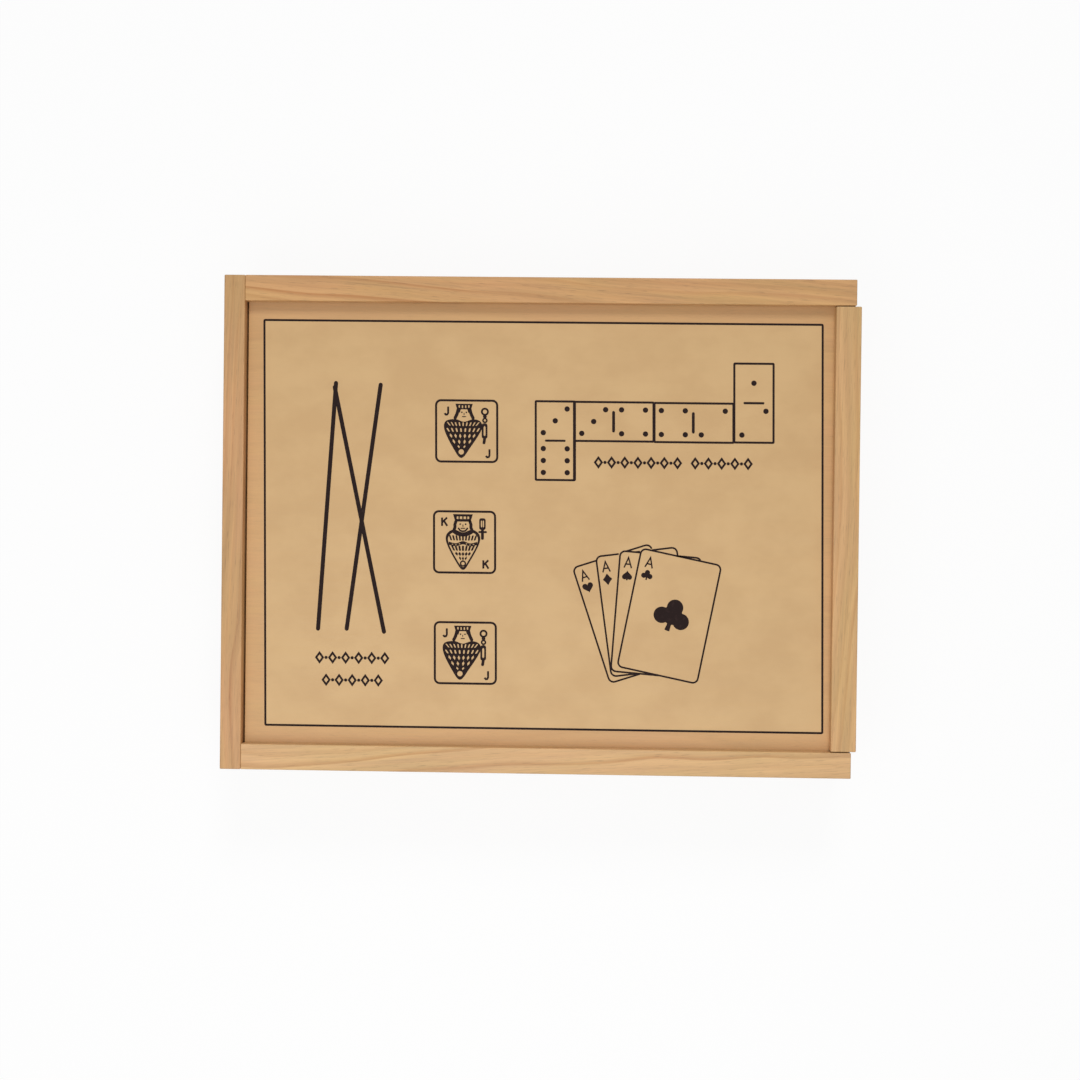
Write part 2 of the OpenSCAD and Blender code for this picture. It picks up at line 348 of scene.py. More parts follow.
def makePiece(bundle, name, materials, body, replaced=(), smooth=False):
    mesh = bpy.data.meshes.new(name)
    mesh.from_pydata((np.vstack(bundle["points"]) * mm).tolist(), [], bundle["faces"])
    for material in materials:
        mesh.materials.append(material)
    mesh.polygons.foreach_set("material_index", bundle["slots"])
    mesh.polygons.foreach_set("use_smooth", [smooth] * len(bundle["faces"]))
    mesh.update()
    piece = addObject(name, mesh)
    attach(piece, body)
    if replaced:
        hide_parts(*replaced)
    return piece


def gridQuads(rows, columns, wrapRows=False, wrapColumns=True):  # a grid's quads, each way open or closed
    r = np.arange(rows if wrapRows else rows - 1)[:, None]
    c = np.arange(columns if wrapColumns else columns - 1)[None, :]
    down, right = (r + 1) % rows, (c + 1) % columns
    quads = [r * columns + c, r * columns + right, down * columns + right, down * columns + c]
    return np.stack(quads, axis=-1).reshape(-1, 4).tolist()


def ringQuads(rows, count, foot=True, top=True):  # the sides of stacked rings, whose end rings are closed
    ends = [list(range(count))[::-1], list(range((rows - 1) * count, rows * count))]
    return gridQuads(rows, count) + ends[:1] * foot + ends[1:] * top


def circle(radius, count, centre=(0, 0), start=0.0):
    a = start + np.arange(count) * 2 * np.pi / count
    return np.stack([centre[0] + radius * np.cos(a), centre[1] + radius * np.sin(a)], axis=1)


def roundedRect(width, height, radius, steps=6):
    # Four quarter arcs about the corners' centres, in turn to the left
    a = (np.arange(4)[:, None] + np.linspace(0, 1, steps)[None, :]) * np.pi / 2
    side = np.array([[1, 1], [-1, 1], [-1, -1], [1, -1]])[:, None, :]
    centre = side * (np.array([width, height]) / 2 - radius)
    return (centre + radius * np.stack([np.cos(a), np.sin(a)], axis=-1)).reshape(-1, 2)


def withHeight(loop, z):
    return np.column_stack([loop, np.full(len(loop), float(z))])


def fillLoops(loops, least=1e-9):  # triangles over an outline with holes, facing up, none without area
    flat = np.vstack(loops)
    triangles = np.array(tessellate_polygon([[(x, y, 0) for x, y in loop] for loop in loops]))
    a, b, c = (flat[triangles[:, k]] for k in range(3))
    area = (b[:, 0] - a[:, 0]) * (c[:, 1] - a[:, 1]) - (b[:, 1] - a[:, 1]) * (c[:, 0] - a[:, 0])
    triangles[area < 0] = triangles[area < 0][:, ::-1]
    return triangles[np.abs(area) > least]


def leftward(loop):  # the loop, turned round where it runs to the right
    if loop is None:
        return None
    loop = np.asarray(loop, float)
    x, y = loop.T
    return loop if np.sum(x * np.roll(y, -1) - np.roll(x, -1) * y) > 0 else loop[::-1]


def shape(outer, holes=(), inner=None):  # an inner loop has the outer one's points, each moved in
    return dict(outer=leftward(outer), holes=[leftward(h) for h in holes], inner=leftward(inner))


def turning(angle):  # rows of x and y times this are turned to the left by the degrees
    c, s = math.cos(math.radians(angle)), math.sin(math.radians(angle))
    return np.array([[c, s], [-s, c]])


def placed(shapes, centre=(0, 0), angle=0.0, scale=1.0):  # the shapes turned, scaled and moved
    turn = turning(angle) * scale

    def moved(loop):
        return None if loop is None else loop @ turn + np.array(centre)
    return [shape(moved(one["outer"]), map(moved, one["holes"]), moved(one["inner"])) for one in shapes]


def unitSteps(path):
    step = np.diff(path, axis=0)
    return step / np.linalg.norm(step, axis=1, keepdims=True)


def stroke(path, width, roundEnds=True, straight=1e-6, sharpest=0.35, capSteps=7):
    # An outline at half the width either side of the path, mitred at its corners, where points on a
    # straight run are left out and the mitre of a sharp corner is held back
    path = np.asarray(path, float)
    step = unitSteps(path)
    turns = np.abs(step[:-1, 0] * step[1:, 1] - step[:-1, 1] * step[1:, 0]) > straight
    path = path[np.concatenate([[True], turns, [True]])]
    step = unitSteps(path)
    side = np.stack([-step[:, 1], step[:, 0]], axis=1)
    before, after = np.vstack([side[:1], side]), np.vstack([side, side[-1:]])
    joint = before + after
    joint /= np.linalg.norm(joint, axis=1, keepdims=True)
    reach = width / 2 / np.maximum((joint * after).sum(axis=1, keepdims=True), sharpest)
    right, left = path - joint * reach, path + joint * reach
    if not roundEnds:
        return shape(np.vstack([right, left[::-1]]))
    sweep = np.linspace(-np.pi / 2, np.pi / 2, capSteps)[1:-1]

    def cap(end, along):
        across = np.array([-along[1], along[0]])
        return end + width / 2 * (np.cos(sweep)[:, None] * along + np.sin(sweep)[:, None] * across)
    return shape(np.vstack([right, cap(path[-1], step[-1]), left[::-1], cap(path[0], -step[0])]))


def frameShape(width, height, radius, line, least=0.05):  # a line round a rounded rectangle
    outer = roundedRect(width + line, height + line, radius + line / 2)
    return shape(outer, inner=roundedRect(width - line, height - line, max(radius - line / 2, least)))


def ringShape(radius, line, centre=(0, 0), count=24):
    return shape(circle(radius + line / 2, count, centre), inner=circle(radius - line / 2, count, centre))


def dots(places, radius):
    return [shape(circle(radius, 16, place)) for place in places]


def curve(points, steps=6, closed=False):
    # Catmull-Rom: each span is a cubic through its ends, with the slopes of its neighbours
    p = np.asarray(points, float)
    if closed:
        p = np.vstack([p[-1:], p, p[:2]])
    else:
        p = np.vstack([2 * p[:1] - p[1:2], p, 2 * p[-1:] - p[-2:-1]])
    t = np.linspace(0, 1, steps, endpoint=False)[None, :, None]
    a, b, c, d = p[:-3, None], p[1:-2, None], p[2:-1, None], p[3:, None]
    spans = 2 * b + (c - a) * t + (2 * a - 5 * b + 4 * c - d) * t ** 2
    flat = (0.5 * (spans + (3 * b - a - 3 * c + d) * t ** 3)).reshape(-1, 2)
    return flat if closed else np.vstack([flat, p[-2:-1]])


suitArt = dict(  # in half a suit's size; the lobes' and the stem's turns in degrees and radians
    lobe=0.44, body=0.53, lobeFar=(0.42, 0.57, 0.57), lobeTurns=(90, 199, 341), stemHalf=0.19, stemFar=0.89,
    spade=0.92, diamondWide=0.80, drawnIn=0.06, steps=120)


def clubRadius(a):
    # The farthest of three round lobes met by a ray at each angle, and never less than the body between them
    far, turn = np.array(suitArt["lobeFar"])[:, None], np.radians(suitArt["lobeTurns"])[:, None]
    across = far * np.sin(a - turn)
    depth = np.sqrt(np.maximum(suitArt["lobe"] ** 2 - across ** 2, 0))
    hit = np.where(np.abs(across) < suitArt["lobe"], far * np.cos(a - turn) + depth, 0)
    return np.maximum(hit.max(axis=0), suitArt["body"])


def heartRadius(a):
    # The usual sine and cosine heart, read off as a distance at each angle
    t = np.linspace(0, 2 * np.pi, 400)
    x = 16 * np.sin(t) ** 3 / 17
    y = (13 * np.cos(t) - 5 * np.cos(2 * t) - 2 * np.cos(3 * t) - np.cos(4 * t) + 2) / 17
    turn = np.unwrap(np.arctan2(y, x))
    order = np.argsort(turn)
    return np.interp(np.mod(a - turn.min(), 2 * np.pi) + turn.min(), turn[order], np.hypot(x, y)[order])


def stemRadius(a):  # a stem that widens to its foot, or nothing to either side of it
    off = np.abs(np.mod(a + np.pi / 2 + np.pi, 2 * np.pi) - np.pi)
    return np.where(off < suitArt["stemHalf"], suitArt["stemFar"], 0.0)


def suitShape(suit, size):  # a card suit, about one size across
    a = np.arange(suitArt["steps"]) * 2 * np.pi / suitArt["steps"]
    if suit == "heart":
        r = heartRadius(a)
    elif suit == "spade":
        r = np.maximum(heartRadius(a + np.pi) * suitArt["spade"], stemRadius(a))
    elif suit == "club":
        r = np.maximum(clubRadius(a), stemRadius(a))
    else:  # a diamond with sides drawn slightly in
        r = 1.0 / (np.abs(np.cos(a)) / suitArt["diamondWide"] + np.abs(np.sin(a)))
        r = r * (1 - suitArt["drawnIn"] * np.sin(2 * a) ** 2)
    return shape(np.stack([r * np.cos(a), r * np.sin(a)], axis=1) * size / 2)


glyphs = dict(  # index marks as strokes in a box one high
    A=[[(-0.36, -0.5), (0, 0.5), (0.36, -0.5)], [(-0.22, -0.14), (0.22, -0.14)]],
    K=[[(-0.28, -0.5), (-0.28, 0.5)], [(0.32, 0.5), (-0.26, -0.08)], [(-0.06, 0.12), (0.34, -0.5)]],
    Q=[[(0.05, -0.22), (0.38, -0.56)]],
    J=[[(0.2, 0.5), (0.2, -0.24), (0.1, -0.44), (-0.08, -0.47), (-0.24, -0.3)]],
    T=[[(-0.58, 0.28), (-0.34, 0.5), (-0.34, -0.5)]],
    N=[[(0.27, 0.2), (0.22, -0.2), (-0.1, -0.5)]])

glyphRings = dict(Q=(0.42, (0, 0)), N=(0.25, (0, 0.22)))  # radius and centre
tenNought = dict(half=(0.27, 0.46), inner=0.66, centre=(0.24, 0))


def glyphShapes(mark, size, line):
    shapes = [stroke(np.array(path) * size, line, roundEnds=False) for path in glyphs[mark]]
    if mark in glyphRings:
        radius, centre = glyphRings[mark]
        shapes.append(ringShape(radius * size, line, np.array(centre) * size))
    if mark == "T":
        oval, centre = circle(1, 24) * tenNought["half"] * size, np.array(tenNought["centre"]) * size
        shapes.append(shape(oval + centre, inner=oval * tenNought["inner"] + centre))
    return shapes


def fanRow(x, y, half, count, tall, wide, lean=0.0, blunt=0.0, hang=0.08):
    # Lozenges side by side, or strips where blunt nears one, whose feet draw in towards the middle; the
    # row hangs a little in its middle, so that no three corners of it lie in line
    share = np.linspace(-1, 1, count)[:, None] if count > 1 else np.zeros((1, 1))
    r = wide / 2
    side = np.array([(0, 1), (-r, blunt), (-r, -blunt), (0, -1), (r, -blunt), (r, blunt)])
    side = side if blunt else side[[0, 1, 3, 4]]
    across = x + share * half + side[:, 0] + share * side[:, 1] * lean
    height = y + side[:, 1] * tall / 2 + hang * (share ** 2 - 0.5) + 0 * across
    return list(np.stack([across, height], axis=-1))


def jackShapes():  # a plain page in a patterned cape, drawn mostly dark, with a ringed staff
    cape = curve([(-1.7, -8.4), (-4.4, -5.0), (-6.9, 0.2), (-6.6, 3.0), (-3.6, 3.7), (-0.8, 2.9),
                  (2.0, 3.7), (4.4, 2.9), (4.6, 0.4), (1.2, -5.0)], closed=True)
    gaps = [circle(0.85, 14, (-1.7, -6.5))]
    gaps += fanRow(-1.1, 2.2, 4.5, 9, 1.3, 0.42, 0.5, 0.7) + fanRow(-1.1, 0.35, 4.7, 8, 1.3, 0.5, 0.4, 0.7)
    gaps += fanRow(-1.3, -1.5, 3.6, 6, 1.5, 0.8, 0.3) + fanRow(-1.5, -3.3, 2.5, 4, 1.5, 0.8, 0.3)
    gaps += fanRow(-1.6, -4.9, 0.9, 2, 1.0, 0.7, 0.2)
    hatBand = fanRow(-0.8, 7.65, 1.5, 4, 0.9, 0.42, 0, 0.8)
    hat = shape([(-3.5, 8.5), (-3.0, 6.8), (1.4, 6.8), (1.9, 8.5)], hatBand)
    hair = [stroke(curve([(side * 1.8 - 0.8, 6.9), (side * 2.2 - 0.8, 5.4), (side * 2.8 - 0.8, 4.1)]), 1.0)
            for side in (-1, 1)]
    locks = [stroke(curve([(side * 1.2 - 0.8, 6.8), (side * 1.45 - 0.8, 5.9)]), 0.35) for side in (-1, 1)]
    face = dots([(-1.5, 5.85), (-0.1, 5.85)], 0.24)
    face += [stroke([(-0.8, 5.6), (-0.8, 5.1)], 0.25), stroke([(-1.3, 4.5), (-0.3, 4.5)], 0.28)]
    staff = [ringShape(0.95, 0.6, (5.7, 6.1)), *dots([(5.7, 4.6)], 0.6), ringShape(0.6, 0.5, (5.7, 3.4)),
             shape(roundedRect(1.8, 4.8, 0.7) + [5.6, 0.1], fanRow(5.6, 0.1, 0, 1, 3.2, 0.6, 0, 0.8)),
             stroke([(5.6, -2.4), (5.4, -3.6)], 0.9)]
    return [shape(cape, gaps), hat] + hair + locks + face + staff


def kingShapes():  # a plain king in a pleated coat, drawn half in line, with a short mace
    coat = curve([(-0.5, -8.7), (-3.0, -5.6), (-5.6, -0.4), (-5.6, 2.4), (-3.4, 3.9), (-0.5, 3.0),
                  (2.4, 3.9), (4.6, 2.4), (4.6, -0.4), (1.9, -5.6)], closed=True)
    hem = coat * 0.87 + [-0.07, -0.25]
    pleats = fanRow(-0.5, 1.3, 3.9, 9, 1.7, 0.55, 0.3, 0.8) + fanRow(-0.5, -1.9, 3.1, 7, 1.7, 0.62, 0.4, 0.8)
    pleats += fanRow(-0.5, -3.7, 2.0, 5, 1.3, 0.95, 0.2) + fanRow(-0.5, -5.1, 0.9, 3, 1.3, 0.7, 0.2)
    waist = [(-5.0, 0.1), (-2.7, -0.4), (-0.5, 0.3), (1.7, -0.4), (4.0, 0.1)]
    foot = [(3.9, -0.9), (1.7, -1.3), (-0.5, -0.7), (-2.7, -1.3), (-4.9, -0.9)]
    studs = [(-3.8, -0.66), (-2.7, -0.85), (-1.6, -0.52), (0.6, -0.52), (1.7, -0.85), (2.8, -0.66)]
    studs = [fanRow(*place, 0, 1, 0.42, 0.5)[0] for place in studs]
    belt = shape(np.vstack([curve(waist), curve(foot)]), studs)
    collar = [stroke(curve([(-3.7, 3.4), (-2.2, 2.5), (-0.5, 2.2), (1.2, 2.5), (2.7, 3.4)]), 0.9)]
    crownGap = roundedRect(3.9, 0.8, 0.2) + [-0.5, 7.6]
    crown = [shape([(-3.6, 8.7), (-2.9, 6.4), (1.9, 6.4), (2.6, 8.7)], [crownGap])]
    crown += [stroke([(x, 7.9), (x, 7.3)], 0.4) for x in (-1.7, -0.5, 0.7)]
    locks = [(2.2, 6.4), (2.5, 5.5), (2.5, 4.6), (2.8, 3.8)]
    hair = [stroke(curve([(side * x - 0.5, y) for x, y in locks]), 0.95) for side in (-1, 1)]
    face = dots([(-1.35, 5.6), (0.35, 5.6)], 0.26)
    face += [stroke([(-0.5, 5.4), (-0.5, 4.8)], 0.26), stroke([(-1.1, 4.3), (0.1, 4.3)], 0.28)]
    beard = [stroke(curve([(-1.9, 4.3), (-1.3, 3.6), (-0.5, 3.4), (0.3, 3.6), (0.9, 4.3)]), 0.5)]
    mace = [shape(roundedRect(2.0, 3.6, 0.6) + [5.6, 5.7], fanRow(5.6, 5.7, 0.3, 2, 2.2, 0.4, 0, 0.8)),
            stroke([(5.6, 4.0), (5.6, 1.2)], 0.9), stroke([(4.6, 3.2), (6.7, 3.2)], 0.6)]
    knot = ringShape(0.75, 0.45, (-0.5, -6.7))
    coatShapes = [shape(coat, inner=hem), belt] + [shape(loop) for loop in pleats]
    return coatShapes + collar + crown + hair + face + beard + mace + [knot]


faceArt = dict(  # in the 19 mm square of the print's die faces; N is the nine and T the ten
    line=0.6, index=2.6, upper=(-6.3, 6.3), lower=(6.6, -6.9), ace=12, aceIndex=2.8, aceAt=(-6.6, 6.3),
    pip=2.6, columns=(-3.6, 3.6), rows=(-5.6, -1.9, 1.9, 5.6),
    middle=dict(N=("heart", [(0, 0)]), T=("diamond", [(0, 3.7), (0, -3.7)])))


def dieFace(mark):
    figures = dict(J=jackShapes, K=kingShapes, Q=kingShapes)
    if mark in figures:
        corner = glyphShapes(mark, faceArt["index"], faceArt["line"])
        return figures[mark]() + placed(corner, faceArt["upper"]) + placed(corner, faceArt["lower"])
    if mark == "A":
        index = placed(glyphShapes("A", faceArt["aceIndex"], faceArt["line"]), faceArt["aceAt"])
        return [suitShape("spade", faceArt["ace"])] + index
    suit, middle = faceArt["middle"][mark]
    places = [(x, y) for x in faceArt["columns"] for y in faceArt["rows"]] + middle
    return [one for place in places for one in placed([suitShape(suit, faceArt["pip"])], place)]


inkSteps = dict(drop=0.06, count=5)


def inkPrisms(bundle, shapes, origin, right, up, thick, slot=0):
    # Each flat shape becomes a closed slab between the surface and the ink's thickness, and neighbours
    # differ by a few hundredths of it, so that where two cross their tops don't share a plane
    right, up = np.array(right, float), np.array(up, float)
    out = np.cross(right, up)
    out /= np.linalg.norm(out)

    def lift(loop, height):
        return np.array(origin) + loop[:, :1] * right + loop[:, 1:] * up + out * height
    for k, one in enumerate(shapes):
        outer, inner = one["outer"], one["inner"]
        top = thick * (1 - inkSteps["drop"] * (k % inkSteps["count"]))
        if inner is not None:
            rows = [lift(outer, 0), lift(outer, top), lift(inner, top), lift(inner, 0)]
            addPart(bundle, np.vstack(rows), gridQuads(4, len(outer), wrapRows=True), slot)
            continue
        loops = [outer] + one["holes"]
        flat = np.vstack(loops)
        cover = fillLoops(loops)
        count = len(flat)
        faces = (cover + count).tolist() + cover[:, ::-1].tolist()
        start = 0
        for rank, loop in enumerate(loops):
            i = start + np.arange(len(loop))
            j = start + (np.arange(len(loop)) + 1) % len(loop)
            if rank:  # a hole's sides face its middle
                i, j = j, i
            faces += np.stack([i, j, j + count, i + count], axis=1).tolist()
            start += len(loop)
        addPart(bundle, np.vstack([lift(flat, 0), lift(flat, top)]), faces, slot)


woods = dict(  # screen colours of early and late wood, and how strongly each part of the figure shows
    pine=dict(early=(205, 160, 108), late=(172, 118, 68), look={
        "Bend": 12.0, "Contrast": 0.8, "Fibre": 0.45, "Streak": 0.5, "Blotch": 0.24, "Drift": 0.22,
        "Pores": 0.22}),
    ply=dict(early=(202, 158, 106), late=(180, 134, 86), look={
        "Ring Width": 9.0, "Bend": 26.0, "Contrast": 0.45, "Fibre": 0.16, "Blotch": 0.2}),
    tile=dict(early=(232, 214, 176), late=(214, 190, 146), look={
        "Ring Width": 1.6, "Bend": 4.0, "Contrast": 0.35, "Fibre": 0.12, "Blotch": 0.25}),
    birch=dict(early=(224, 196, 148), late=(206, 172, 120), look={
        "Ring Width": 1.2, "Bend": 2.0, "Contrast": 0.4, "Fibre": 0.2, "Blotch": 0.3}))


def woodLook(kind, tone=(0, 0, 0)):
    early, late = (srgb(*(np.array(woods[kind][part]) + tone)) for part in ("early", "late"))
    return {"Early": early, "Late": late, **woods[kind]["look"]}


walls = dict(  # node: axis of the grain, pith off the board in mm, its tilt in degrees, ring width, tone; the tone is painted light and shade, darker on the north and west boards and lighter on the south one, as the light falls on them
    north_wall=("x", (40, -26, -14), 5.0, 2.5, (-5, -7, -8)),
    south_wall=("x", (310, 26, -8), -4.0, 2.8, (4, 8, 9)),
    west_wall=("y", (150, -52, -14), 2.0, 2.2, (-10, -10, -7)),
    east_wall=("y", (420, 30, -10), -2.0, 2.4, (2, 2, 0)),
    lid_batten=("y", (80, 46, -20), 2.0, 2.1, (-2, 0, 1)))

edgeRound = dict(walls=0.3, panel=0.2, steps=3, sharp=40, weld=0.001)  # mm and degrees


def soften(node, radius):  # a CAD node's edges are rounded without touching its mesh
    weld = node.modifiers.new("weld", "WELD")
    weld.merge_threshold = edgeRound["weld"] * mm
    bevel = node.modifiers.new("round", "BEVEL")
    bevel.width = radius * mm
    bevel.segments = edgeRound["steps"]
    bevel.limit_method = "ANGLE"
    bevel.angle_limit = math.radians(edgeRound["sharp"])


def dress(name, material, radius):
    node = nodes[name]
    node.data.materials.clear()
    node.data.materials.append(material)
    soften(node, radius)


def dressWalls():
    for name, (along, pith, tilt, ringWidth, tone) in walls.items():
        # the tone shift paints light and shade into the board's colour: darker on the north and west walls,
        # lighter on the south wall
        look = woodLook("pine", tone) | {"Ring Width": ringWidth}
        dress(name, makeBoard("pine_" + name, along, pith, look, tilt=tilt), edgeRound["walls"])


plywood = dict(  # mm; the core reaches a share of the thickness to either side of the middle
    facePith=(70, -900, 40), corePith=(20, 700, 60), coreShare=0.2, coreTone=0.72, roughness=0.56,
    bump=(0.4, 0.05),
    panels=dict(  # node, its thin axis, the axis of its face grain and of its core's grain
        base_panel=("z", "x", "y"), long_divider=("y", "x", "z"),
        cross_divider=("x", "y", "z"), short_divider=("y", "x", "z")))


def boxMm(name):
    low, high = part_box(name)
    return np.array(low) / mm, np.array(high) / mm


def plyParts(tree, node, thin, along, across, look):
    # Three veneers, where the grain of the core runs across that of the faces
    low, high = (corner["xyz".index(thin)] for corner in boxMm(node))
    faceGrain = grainOf(tree, along, plywood["facePith"], look)
    coreGrain = grainOf(tree, across, plywood["corePith"], look)
    off = away(split(objectPlace(tree))["xyz".index(thin)], (low + high) / 2 * mm)
    core = calc("LESS_THAN", off, (high - low) * plywood["coreShare"] * mm)
    darker = scaled(coreGrain["Color"], plywood["coreTone"])
    return mixTones(core, faceGrain["Color"], darker), faceGrain


def dressPanels():
    for name, axes in plywood["panels"].items():
        material, tree, shader = newMaterial("ply_" + name)
        tone, grain = plyParts(tree, name, *axes, woodLook("ply"))
        finishWood(shader, tone, grain, plywood["roughness"], plywood["bump"])
        dress(name, material, edgeRound["panel"])


lidPrint = dict(  # mm on the lid; the print leans a little against the lid's edges
    centre=(1.5, 0.0), lean=0.0125, thick=0.05,
    border=(0.25, 0.0), width=174.0, height=126.8, corner=0.3, line=0.64)

lidFace = dict(  # the coat inside the border, its clouds and the finish of the whole lid
    tone=srgb(208, 172, 121), shade=srgb(199, 162, 112), share=0.88, skin=0.3, clouds=(55, 75, 55),
    cloudRough=0.6, cloudMask=(0.3, 0.7), roughness=0.46, bump=(0.3, 0.04),
    wood={"Contrast": 0.3, "Fibre": 0.2, "Streak": 0.14, "Blotch": 0.22})


def makeLidMaterial():
    material, tree, shader = newMaterial("lidFace")
    tone, grain = plyParts(tree, "lid_panel", "z", "x", "y", woodLook("ply") | lidFace["wood"])
    place = objectPlace(tree)
    x, y, z = split(place)
    leaned = plus(x, times(y, lidPrint["lean"]))
    middle = (np.array(lidPrint["centre"]) + lidPrint["border"]) * mm
    pastX = minus(away(leaned, float(middle[0])), lidPrint["width"] / 2 * mm)
    pastY = minus(away(y, float(middle[1])), lidPrint["height"] / 2 * mm)
    inside = calc("LESS_THAN", calc("MAXIMUM", pastX, pastY), 0.0)
    upper = calc("GREATER_THAN", z, (boxMm("lid_panel")[1][2] - lidFace["skin"]) * mm)
    coated = times(times(inside, upper), lidFace["share"])
    drawn = stretch(place, lidFace["clouds"])
    clouds = noise(drawn, 3.0, Roughness=lidFace["cloudRough"])
    coat = mixTones(smoothRange(clouds, *lidFace["cloudMask"]), lidFace["shade"], lidFace["tone"])
    finishWood(shader, mixTones(coated, tone, coat), grain, lidFace["roughness"], lidFace["bump"])
    return material


dressWalls()
dressPanels()
dress("lid_panel", makeLidMaterial(), edgeRound["panel"])
print("walls, base, dividers and lid are dressed")

inkFinish = dict(
    scale=900.0, wornMask=(0.5, 0.8), lighten=1.8, lift=0.006, roughShare=0.2, roughDrop=0.1, gloss=0.15)


def makeInk(name, tone, roughness):  # a thin coat, a little lighter in worn spots
    material, tree, shader = newMaterial(name)
    patchy = noise(objectPlace(tree), 2.0, scale=inkFinish["scale"])
    lighter = (*[min(c * inkFinish["lighten"] + inkFinish["lift"], 1) for c in tone[:3]], 1.0)
    rough = times(patchy, inkFinish["roughShare"])
    plug(shader, {
        "Base Color": mixTones(smoothRange(patchy, *inkFinish["wornMask"]), tone, lighter),
        "Roughness": plus(rough, roughness - inkFinish["roughDrop"]),
        "Specular IOR Level": inkFinish["gloss"]})
    return material


lidSticks = dict(line=1.3, ends=[  # the three crossing sticks
    [(-64.3, 43.9), (-70.1, -33.0)], [(-64.7, 42.6), (-49.4, -33.7)], [(-50.3, 43.5), (-61.1, -32.9)]])

lidDice = dict(
    size=19.1, corner=1.5, line=0.66, marks="JKJ", places=[(-23.4, 29.3), (-24.1, -5.35), (-23.9, -40.0)])

lidTiles = dict(
    length=24.5, width=12.15, corner=0.2, line=0.66, pip=0.84, pitch=3.72, half=6.2, rule=2.9,
    seam=((10.25, 38.9), (10.25, 14.3)), seamLine=0.93,
    row=[  # centre, angle, the numbers counted along the tile, how far its marks are off centre, rule's width
        ((4.25, 26.6), -90, 3, 6, 0, 0.66), ((22.6, 32.7), 0, 3, 4, -0.17, 0.9),
        ((47.4, 32.6), 0, 4, 2, -0.2, 0.88), ((66.0, 38.9), -90, 1, 2, 0, 0.7)])

lidAces = dict(
    width=25.3, height=37.65, corner=1.6, line=0.54, suits=["heart", "diamond", "spade", "club"],
    corners=[(9.7, -13.0), (16.9, -9.4), (24.55, -7.45), (31.17, -6.6)], turns=[18, 7.4, -4.6, -11.7],
    index=3.2, indexLine=0.44, indexAt=[(2.7, -3.4), (2.7, -3.5), (2.7, -3.5), (3.3, -3.86)],
    pip=3.6, pipDrop=3.9, bigPip=11.6, bigTurn=-20, bigOff=(0.98, 0.3), arcSteps=8, samples=260)

lidRows = dict(  # rows of lozenges and dots
    pitch=4.1, high=4.0, wide=2.9, hollow=0.46, dot=0.5,
    rows=[((-59.4, -42.0), 6), ((-59.4, -49.0), 5), ((30.0, 20.0), 7), ((56.0, 20.0), 5)])


def pipPlaces(count, pitch):
    places = [(0, 0)] if count % 2 else []
    places += [(-1, -1), (1, 1)] if count >= 2 else []
    places += [(-1, 1), (1, -1)] if count >= 4 else []
    places += [(0, -1), (0, 1)] if count == 6 else []
    return np.array(places, float).reshape(-1, 2) * pitch


def outlineOf(part, *size):
    return frameShape(*[part[side] for side in size], part["corner"], part["line"])


def tileShapes():
    shapes = [stroke(lidTiles["seam"], lidTiles["seamLine"], roundEnds=False)]
    outline = outlineOf(lidTiles, "length", "width")
    for centre, angle, low, high, off, ruleLine in lidTiles["row"]:
        marks = [stroke([(0, -lidTiles["rule"]), (0, lidTiles["rule"])], ruleLine)]
        for side, count in ((-1, low), (1, high)):
            spots = pipPlaces(count, lidTiles["pitch"]) * [1, -1 if angle else 1]
            marks += dots(spots + [side * lidTiles["half"], 0], lidTiles["pip"])
        shapes += placed([outline] + placed(marks, (off, 0)), centre, angle)
    return shapes


def aceShapes():
    # Each card's outline is dropped where a card nearer the front covers it; the front card keeps its frame
    shapes, cards = [], []
    size = np.array([lidAces["width"], lidAces["height"]])
    for corner, turn in zip(lidAces["corners"], lidAces["turns"]):
        axes = turning(turn)
        cards.append((np.array(corner) + (size * [0.5, -0.5]) @ axes, axes))
    index = glyphShapes("A", lidAces["index"], lidAces["indexLine"])
    for k, (centre, axes) in enumerate(cards):
        turn = lidAces["turns"][k]
        pip = placed([suitShape(lidAces["suits"][k], lidAces["pip"])], (0, -lidAces["pipDrop"]))
        shapes += placed(placed(index + pip, lidAces["indexAt"][k]), lidAces["corners"][k], turn)
        if k == len(cards) - 1:
            shapes += placed([outlineOf(lidAces, "width", "height")], centre, turn)
            break
        loop = roundedRect(*size, lidAces["corner"], steps=lidAces["arcSteps"])
        loop = np.vstack([loop, loop[:1]])
        far = np.concatenate([[0], np.cumsum(np.linalg.norm(np.diff(loop, axis=0), axis=1))])
        even = np.linspace(0, far[-1], lidAces["samples"])
        line = np.column_stack([np.interp(even, far, side) for side in loop.T]) @ axes + centre
        shown = np.ones(len(line), bool)
        for nearer, turned in cards[k + 1:]:
            shown &= ~(np.abs((line - nearer) @ turned.T) < size / 2).all(axis=1)
        runs = np.split(np.arange(len(line)), np.flatnonzero(np.diff(shown.astype(int))) + 1)
        runs = [run for run in runs if shown[run[0]] and len(run) > 2]
        shapes += [stroke(line[run], lidAces["line"], roundEnds=False) for run in runs]
    bigPip = [suitShape("club", lidAces["bigPip"])]
    return shapes + placed(bigPip, cards[-1][0] + lidAces["bigOff"], lidAces["bigTurn"])


def lozengeShapes():
    shapes = []
    tall, wide = lidRows["high"] / 2, lidRows["wide"] / 2
    diamond = np.array([(wide, 0), (0, tall), (-wide, 0), (0, -tall)])
    for (middle, y), count in lidRows["rows"]:
        for k in range(count):
            x = middle + (k - (count - 1) / 2) * lidRows["pitch"]
            shapes.append(shape(diamond + [x, y], inner=diamond * lidRows["hollow"] + [x, y]))
            if k:
                shapes += dots([(x - lidRows["pitch"] / 2, y)], lidRows["dot"])
    return shapes


